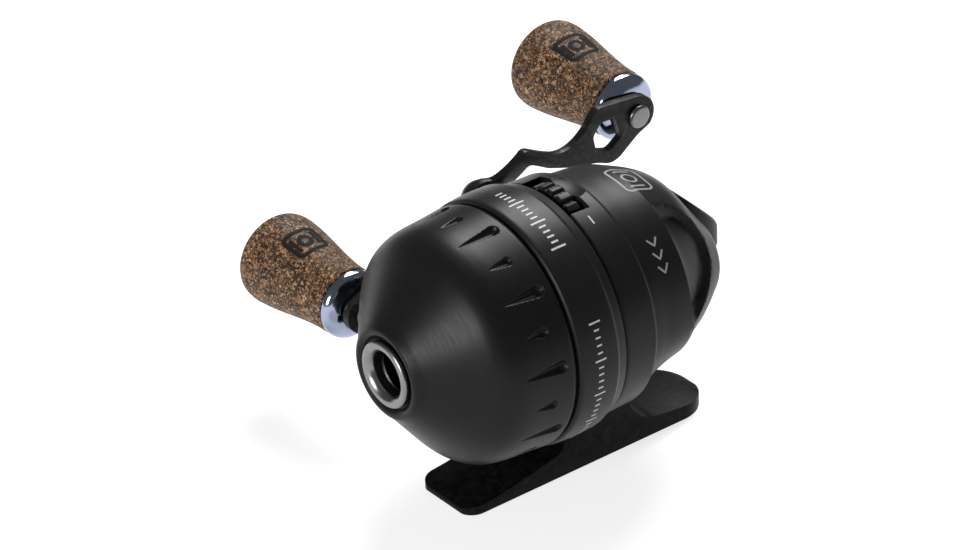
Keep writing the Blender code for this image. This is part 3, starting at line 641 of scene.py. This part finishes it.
def build_drag():
    seg, teeth = 400, 20
    profile = fillet([(13.25, 1.95), (13.25, 8.6, 0.2), (13.75, 9.25, 0.35), (16.45, 9.25, 0.35),
                      (16.95, 8.6, 0.2), (16.95, 1.95)], 0.3, 5)
    rows = []
    for s, r in profile:
        row = []
        for i in range(seg):
            t = 2 * pi * i / seg
            f = abs(((t * teeth / (2 * pi)) + 0.5) % 1.0 - 0.5) * 2
            groove = 1 / (1 + pow(2.718, (0.66 - f) * 22))
            rr = r - 0.72 * groove if r > 7.9 else r
            row.append((rr * cos(t), s, DRAG_Z + rr * sin(t)))
        rows.append(row)
    piece(mesh_object("drag_thumbwheel", skin(rows, True)), DRAG, "drag_wheel", "drag_wheel", sharp=50)


def build_button():
    def top(y):
        line = [(39.8, 16.6), (50.5, 5.9), (52.2, 3.95), (53.2, 2.2), (53.6, 0.4)]
        return along_points(line, y)

    def bottom(y):
        return along_points([(39.8, 12.1), (46.9, 5.0), (47.6, -1.4), (53.6, -1.2)], y)

    def along_points(line, y):
        if y <= line[0][0]:
            return line[0][1]
        for a, b in zip(line, line[1:]):
            if y <= b[0]:
                return a[1] + (b[1] - a[1]) * (y - a[0]) / (b[0] - a[0])
        return line[-1][1]
    def plan(t, q):
        """x and y of the oval pad's outline, drawn in to q of its size."""
        reach = BUTTON_REAR if sin(t) > 0 else BUTTON_HALF
        return BUTTON_HALF * q * cos(t), BUTTON_Y + reach * q * sin(t)
    seg = 96
    rows = [[(0, BUTTON_Y, top(BUTTON_Y) - 0.35)]]
    for q in [0.12, 0.25, 0.4, 0.55, 0.68, 0.78, 0.85, 0.9, 0.94, 0.97, 0.99, 1.0]:
        edge = max(0.0, (q - 0.85) / 0.15)
        fall = 0.9 * (1 - sqrt(max(0.0, 1 - edge * edge)))
        dish = 0.35 * (1 - min(1.0, q / 0.85) ** 2)
        row = []
        for i in range(seg):
            t = 2 * pi * i / seg
            x, y = plan(t, q)
            rib = 0.16 * max(0.0, cos((y - 45.2) * 2 * pi / 1.5)) if q < 0.72 and 41.8 < y < 48.6 else 0.0
            z = max(top(y) - fall - dish + rib, bottom(y) + 0.4)
            row.append((x, y, z))
        rows.append(row)
    last = rows[-1]
    for k in (0.3, 0.6, 0.85):
        rows.append([(p[0], p[1], p[2] + (bottom(p[1]) - p[2]) * k) for p in last])
    for q in (0.97, 0.8, 0.6, 0.4, 0.2):
        flat = [plan(2 * pi * i / seg, q) for i in range(seg)]
        rows.append([(x, y, bottom(y)) for x, y in flat])
    rows.append([(0, BUTTON_Y, bottom(BUTTON_Y))])
    pad = skin(rows, False)
    neck = slab(arc(*HINGE, 1.6, 250, 70, 16) + [(38.0, 13.4), (41.5, 11.4), (41.5, 9.6), (38.0, 10.8)],
                'X', -3.6, 3.6)
    leg = slab(fillet([(44.0, -4.5), (45.3, -4.5), (45.3, 8.0), (44.0, 8.0)], 0.3, 3, True), 'X', -4.0, 4.0)
    button = mesh_object("thumb_pad", joined(pad, neck, leg))
    cut(button, rod('X', -7.0, 7.0, 1.2, HINGE, 32))
    piece(button, BUTTON, "button", "thumb_button", sharp=38)


# ---------------------------------------------------------------- crank
def arm_point(u, v, x):
    return (x, CRANK_Y + u * cos(ARM_TILT) - v * sin(ARM_TILT), u * sin(ARM_TILT) + v * cos(ARM_TILT))


def bend(s):
    """Part of the arm's step toward the body, s mm out from the hub."""
    line = [(4.4, 0.0), (5.1, 0.20), (6.5, 0.46), (8.5, 0.70), (10.2, 0.87), (11.9, 1.0)]
    for (s0, f0), (s1, f1) in zip(line, line[1:]):
        if s0 < s <= s1:
            return f0 + (f1 - f0) * (s - s0) / (s1 - s0)
    return 0.0 if s <= 4.4 else 1.0


def build_arm():
    upper = [(2.3, 4.9), (7.6, 9.3), (8.6, 9.75), (9.6, 9.4), (13.0, 6.2), (15.1, 4.5),
             (17.0, 3.7), (19.0, 3.55), (21.0, 3.9), (23.2, 4.8), (25.2, 6.3), (26.4, 7.3),
             (27.4, 7.6), (28.6, 7.3), (36.9, 4.1)]
    lower = [(29.2, -6.2), (27.4, -6.3), (26.0, -5.7), (24.0, -4.1), (22.0, -3.0),
             (19.0, -1.5), (16.0, 0.3), (12.9, 2.3), (10.6, 4.6), (9.4, 5.6), (8.6, 5.5),
             (5.2, 1.9)]
    half = upper + arc(ARM_R, 0, 4.25, 60, -60, 24) + [(34.6, -4.15)] + lower + arc(0, 0, 5.5, 10, -100, 20)
    outline = fillet(half + [(-u, -v) for u, v in half], 0.75, 4, True)
    bm = slab(outline, 'Z', -36.35, -38.05)
    across = Vector((0.72, 0.694, 0)).normalized()
    stops = [4.0 + 8.2 * k / 20 for k in range(21)]
    for s in stops:
        for sign in (-1, 1):
            bmesh.ops.bisect_plane(bm, geom=bm.verts[:] + bm.edges[:] + bm.faces[:],
                                   plane_co=across * sign * s, plane_no=across * sign)
    for v in bm.verts:
        s = abs(v.co.x * across.x + v.co.y * across.y)
        v.co = arm_point(v.co.x, v.co.y, v.co.z + ARM_STEP * (bend(s - 0.4) + bend(s) + bend(s + 0.4)) / 3)
    arm = mesh_object("crank_plate", bm)
    opening = fillet([(24.5, 2.3), (27.1, 4.2), (30.5, 3.1), (30.9, -2.1), (27.4, -3.3), (24.3, -1.2)],
                     0.8, 5, True)
    holes = []
    for side in (1, -1):
        holes.append(slab([arm_point(side * u, side * v, 0)[1:] for u, v in opening], 'X', -30, -35))
        _, ky, kz = arm_point(side * ARM_R, 0, 0)
        holes.append(rod('X', -30, -35, 1.7, (ky, kz), 32))
    cut(arm, joined(rod('X', -30, -40, 2.45, (CRANK_Y, 0), 48), *holes))
    round_edges(arm, 0.32, 3, 50)
    piece(arm, ARM, "crank", "crank_arm", sharp=30)
    collar = fillet([(-27.65, 2.55), (-27.65, 5.2, 0.3), (-28.05, 5.55, 0.3), (-29.55, 5.55, 0.5),
                     (-30.4, 4.4, 0.5), (-35.95, 3.95, 0.3), (-35.95, 2.55)], 0.2, 5)
    hub = (CRANK_Y, 0)
    piece(mesh_object("hub_collar", lathe(collar, 'X', hub, 96)), ARM, "crank", "crank_collar", sharp=45)
    nut = fillet([(-38.45, 2.55), (-38.45, 3.8, 0.2), (-38.95, 4.06, 0.3), (-40.2, 3.87, 0.8),
                  (-41.5, 3.07, 0.9), (-42.4, 1.8, 0.9), (-42.67, 0.01), (-40.75, 0.01),
                  (-40.75, 2.55)], 0.2, 5)
    piece(mesh_object("hub_nut", lathe(nut, 'X', hub, 96)), NUT, "crank", "crank_nut", sharp=45)


CORK_PROFILE = fillet([(-37.35, 3.95), (-37.35, 6.9, 0.15), (-37.6, 7.18, 0.2), (-41.0, 7.22, 3),
                       (-45.5, 7.72, 3), (-50.0, 8.47, 3), (-54.0, 9.12, 2), (-58.4, 9.52, 1.6),
                       (-60.3, 9.28, 0.9), (-61.4, 8.5, 0.7), (-61.8, 7.0, 0.7), (-61.88, 0.01)], 0.3, 6)


def build_knob(index, side):
    _, y, z = arm_point(side * ARM_R, 0, 0)
    tag, body = f"_{index}", f"knob_{index}"
    profile = denser(CORK_PROFILE, 0.8) + [(-57.0, 0.01), (-57.0, 1.72), (-44.4, 1.72), (-44.4, 3.95)]
    grip = mesh_object("cork_grip" + tag, lathe(profile, 'X', (y, z), 128))
    piece(grip, CORK, body, "knob_cork" + tag, sharp=50)
    collar = fillet([(-33.9, 1.7), (-33.9, 3.5, 0.25), (-34.35, 5.15, 0.7), (-35.05, 6.45, 0.7),
                     (-35.75, 7.05, 0.5), (-36.7, 7.17, 0.15), (-36.9, 6.95, 0.1), (-36.9, 3.6),
                     (-44.0, 3.6), (-44.0, 1.7)], 0.1, 6)
    piece(mesh_object("knob_ferrule" + tag, lathe(collar, 'X', (y, z), 128)), CHROME, body,
          "knob_collar" + tag, sharp=50)
    rivet = fillet([(-30.52, 0.01), (-30.52, 1.9, 0.2), (-30.8, 2.42, 0.25), (-31.28, 2.48, 0.08),
                    (-31.28, 1.3, 0.05), (-56.0, 1.3), (-56.0, 0.01)], 0.1, 4)
    piece(mesh_object("knob_rivet" + tag, lathe(rivet, 'X', (y, z), 72)), RIVET, "crank",
          "knob_spindle" + tag, sharp=50)
    return y, z


# ---------------------------------------------------------------- printed and burnt marks
def strokes(name, paths, width, surface, mat, body, slot):
    """Flat strokes laid on a surface; surface(u, v) gives the point for 2-D millimetres."""
    bm = bmesh.new()
    for path, closed in paths:
        pts = [Vector(p) for p in (path + [path[0]] if closed else path)]
        fine = [pts[0]]
        for a, b in zip(pts, pts[1:]):
            n = max(1, int((b - a).length / 0.3))
            fine += [a.lerp(b, k / n) for k in range(1, n + 1)]
        pairs = []
        for i, p in enumerate(fine):
            a = fine[i - 1] if i else (fine[-2] if closed else p)
            b = fine[i + 1] if i < len(fine) - 1 else (fine[1] if closed else p)
            d = (b - a).normalized()
            n = Vector((-d.y, d.x)) * width / 2
            pairs.append([bm.verts.new(surface(*(p + n * f))) for f in (1.0, 0.34, -0.34, -1.0)])
        for a, b in zip(pairs, pairs[1:]):
            for k in range(3):
                bm.faces.new([a[k], b[k], b[k + 1], a[k + 1]])
    obj = mesh_object(name, bm)
    piece(obj, mat, body, slot=slot, sharp=60)


def rounded(cx, cy, w, h, r):
    pts = [(cx + w / 2 - r, cy + h / 2 - r, 0), (cx - w / 2 + r, cy + h / 2 - r, 90),
           (cx - w / 2 + r, cy - h / 2 + r, 180), (cx + w / 2 - r, cy - h / 2 + r, 270)]
    return [q for x, y, a in pts for q in arc(x, y, r, a, a + 90, 6)]


def build_marks():
    def on_body(u, v):
        t = u / 23.5
        r = body_radius(v, t) + 0.04
        return (r * cos(t), v, r * sin(t))

    def on_band(u, v):
        t = u / 25.4
        r = along(BAND_PROFILE, v) + 0.04
        return (r * cos(t), v, r * sin(t))

    def bars(lo, hi, step, v0, v1, extra):
        """Ticks across the band from lo to hi degrees; every fifth is taller by extra at both ends."""
        out, k, a = [], 0, lo
        while a <= hi + 1e-6:
            u = radians(a) * 25.4
            e = extra if k % 5 == 0 else 0.0
            out.append(([(u, v0 - e), (u, v1 + e)], False))
            a += step
            k += 1
        return out
    at = 23.5 * radians(1)
    dash = [([(62.7 * at, 15.7), (67.6 * at, 15.7)], False)]
    strokes("index_dash", dash, 0.34, on_body, INK, "frame", "band_black")
    scale = bars(58, 100, 3.0, 4.2, 5.8, 0.9)
    strokes("drag_scale_ticks", scale, 0.42, on_band, INK, "frame", "band_black")
    ticks = bars(-48, 22, 3.5, 4.5, 5.7, 0.7)
    strokes("band_side_ticks", ticks, 0.36, on_band, INK, "frame", "band_black")
    chevrons = []
    for start in (46.0, 39.0, 32.0):
        line = [(start * at, 24.4), ((start - 4.0) * at, 25.6), (start * at, 26.8)]
        chevrons.append((line, False))
    strokes("side_chevrons", chevrons, 0.45, on_body, INK_DIM, "frame", "housing_black")
    cu = 84 * at
    emblem = [(rounded(cu, 31.4, 8.6, 6.6, 1.3), True), (arc(cu, 31.4, 1.5, 0, 350, 24), True),
              ([(cu - 3.0, 29.6), (cu - 3.0, 33.2)], False), ([(cu + 3.0, 29.6), (cu + 3.0, 33.2)], False)]
    strokes("top_emblem", emblem, 0.5, on_body, INK_DIM, "frame", "housing_black")


def build_cork_mark(index, centre):
    def on_cork(u, v):
        t = MARK_ANGLE + u / 8.8
        r = along(CORK_PROFILE, v) + 0.03
        return (v, centre[0] + r * cos(t), centre[1] + r * sin(t))
    shapes = [(rounded(0.0, MARK_X, 7.2, 6.2, 1.2), True), (arc(0.0, MARK_X, 1.3, 0, 345, 24), True)]
    shapes += [([(u, MARK_X - 2.0), (u, MARK_X + 2.0)], False) for u in (-2.5, 2.5)]
    strokes(f"cork_brand_{index}", shapes, 1.0, on_cork, BURNT, f"knob_{index}", "knob_cork")


build_cover()
build_band()
build_housing()
build_foot()
build_drag()
build_button()
build_arm()
for number, sign in ((1, 1), (2, -1)):
    build_cork_mark(number, build_knob(number, sign))
build_marks()

INNER = {"spool": ALLOY, "spinner_head": ALLOY, "deck_plate": ALLOY, "spinner_nut": STEEL,
         "center_shaft": STEEL, "pinion_gear": BRASS, "drive_gear": BRASS, "pinion_bushing": BRASS,
         "crank_bushing": BRASS, "one_way_clutch": STEEL, "return_spring": STEEL, "crank_shaft": STEEL,
         "drag_screw": STEEL, "drag_pad": BUTTON, "button_pin": STEEL, "pickup_pin": STEEL,
         "spring_retainer": STEEL, "spool_clip": STEEL}
for node_name, node_obj in NODES.items():
    if node_obj.hide_render:
        continue
    node_obj.data.materials.clear()
    node_obj.data.materials.append(INNER.get(node_name, STEEL))


# ---------------------------------------------------------------- floor, light and camera
def build_floor():
    bm = bmesh.new()
    bmesh.ops.create_grid(bm, x_segments=8, y_segments=8, size=2.5)
    mesh = bpy.data.meshes.new("floor")
    bm.to_mesh(mesh)
    bm.free()
    floor = bpy.data.objects.new("floor", mesh)
    floor.location = (0, 0, -0.0002)
    SCENE.collection.objects.link(floor)
    s = Shade("pale_floor")
    n = s.noise(6, 2)
    s.set(Base_Color=s.ramp(n, [(0.3, (0.46, 0.46, 0.46)), (0.7, (0.48, 0.48, 0.48))]),
          Roughness=s.remap(n, 0.3, 0.7, 0.85, 0.95))
    s.shader.inputs["Specular IOR Level"].default_value = 0.0
    s.shader.inputs["Emission Color"].default_value = (1, 1, 1, 1)
    s.shader.inputs["Emission Strength"].default_value = 0.70
    mesh.materials.append(s.mat)


def area(name, where, target, size, power, colour=(1, 1, 1)):
    data = bpy.data.lights.new(name, 'AREA')
    data.shape, data.size, data.size_y = 'RECTANGLE', size[0], size[1]
    data.energy, data.color = power, colour
    lamp = bpy.data.objects.new(name, data)
    lamp.location = where
    lamp.rotation_euler = (Vector(target) - Vector(where)).to_track_quat('-Z', 'Y').to_euler()
    SCENE.collection.objects.link(lamp)


def build_studio():
    world = bpy.data.worlds.new("studio")
    world.use_nodes = True
    world.node_tree.nodes["Background"].inputs["Color"].default_value = (0.95, 0.97, 1.0, 1)
    world.node_tree.nodes["Background"].inputs["Strength"].default_value = 0.16
    SCENE.world = world
    mid = (0.0, 0.0, 0.035)
    area("front", (0.17, -0.85, 0.31), mid, (0.42, 0.32), 7.0, (1.0, 0.985, 0.97))
    area("top", (-0.38, 0.47, 0.75), mid, (0.5, 0.5), 12.0)


def build_camera():
    az, el, roll = radians(52.67), radians(31.45), radians(-2.05)
    dist, lens = 1145.61, 220.89571
    aim_left, aim_up = 1.44514, 9.56234       # where the camera looks, off the body's origin
    back = Vector((sin(az) * cos(el), -cos(az) * cos(el), sin(el)))
    fwd = -back
    right = fwd.cross(Vector((0, 0, 1))).normalized()
    up = right.cross(fwd)
    right2 = cos(roll) * right + sin(roll) * up
    up2 = -sin(roll) * right + cos(roll) * up
    pos = back * dist - right2 * aim_left + up2 * aim_up
    data = bpy.data.cameras.new("camera")
    data.sensor_width, data.sensor_fit = 36.0, 'HORIZONTAL'
    data.lens = lens
    data.clip_start, data.clip_end = 0.05, 10.0
    cam = bpy.data.objects.new("camera", data)
    m = Matrix((right2, up2, back)).transposed().to_4x4()
    m.translation = place(pos)
    cam.matrix_world = m
    SCENE.collection.objects.link(cam)
    SCENE.camera = cam


build_floor()
build_studio()
build_camera()
SCENE.view_settings.view_transform = 'Standard'
